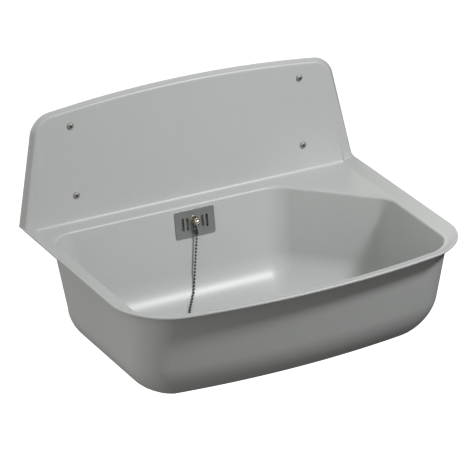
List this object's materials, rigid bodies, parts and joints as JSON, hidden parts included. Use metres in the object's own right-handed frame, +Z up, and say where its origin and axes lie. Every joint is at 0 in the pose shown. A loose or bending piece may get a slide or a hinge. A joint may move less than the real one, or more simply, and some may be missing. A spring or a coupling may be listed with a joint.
{
  "type": "mop service sink",
  "caption": "Wall-hung moulded mop sink with a raised back panel, a cut-off back corner, a chained rubber plug, an overflow plate and a waste.",
  "frame": {"origin": "middle of the sink on the wall plane, level with the top of the rim, on the rib that bears on the wall", "axes": "+X along the wall to the viewer's right, -Y out of the wall towards the user, +Z up"},
  "size_m": [0.605, 0.52, 0.4464],
  "materials": {
    "shell": "satin moulded light grey",
    "fixing_steel": "zinc plated",
    "plate_steel": "matt stainless",
    "knob_metal": "polished nickel, warm",
    "chain_metal": "dull nickel",
    "nylon": "moulded nylon",
    "rubber": "black moulded",
    "waste_plastic": "white moulded",
    "hose_plastic": "soft moulded"
  },
  "bodies": {
    "sink": {"sink_shell": "shell", "wall_screws": "fixing_steel", "cup_washers": "fixing_steel", "wall_plugs": "nylon", "overflow_plate": "plate_steel", "overflow_gasket": "rubber", "overflow_box": "waste_plastic", "overflow_hose": "hose_plastic", "hose_clips": "fixing_steel", "chain_stay": "knob_metal", "stay_ring": "chain_metal", "upper_chain_clasp": "chain_metal", "ball_chain": "chain_metal", "waste_strainer": "plate_steel", "strainer_gasket": "rubber", "waste_screw": "fixing_steel", "waste_gasket": "rubber", "waste_body": "waste_plastic"},
    "plug": {"rubber_plug": "rubber", "plug_cap": "knob_metal", "plug_ring": "chain_metal", "lower_chain_clasp": "chain_metal"}
  },
  "joints": [
    {"name": "plug_lift", "type": "slide", "parent": "sink", "child": "plug", "axis": [0, 0, 1], "range_m": [0, 0.06], "deforming": ["ball_chain"]}
  ]
}
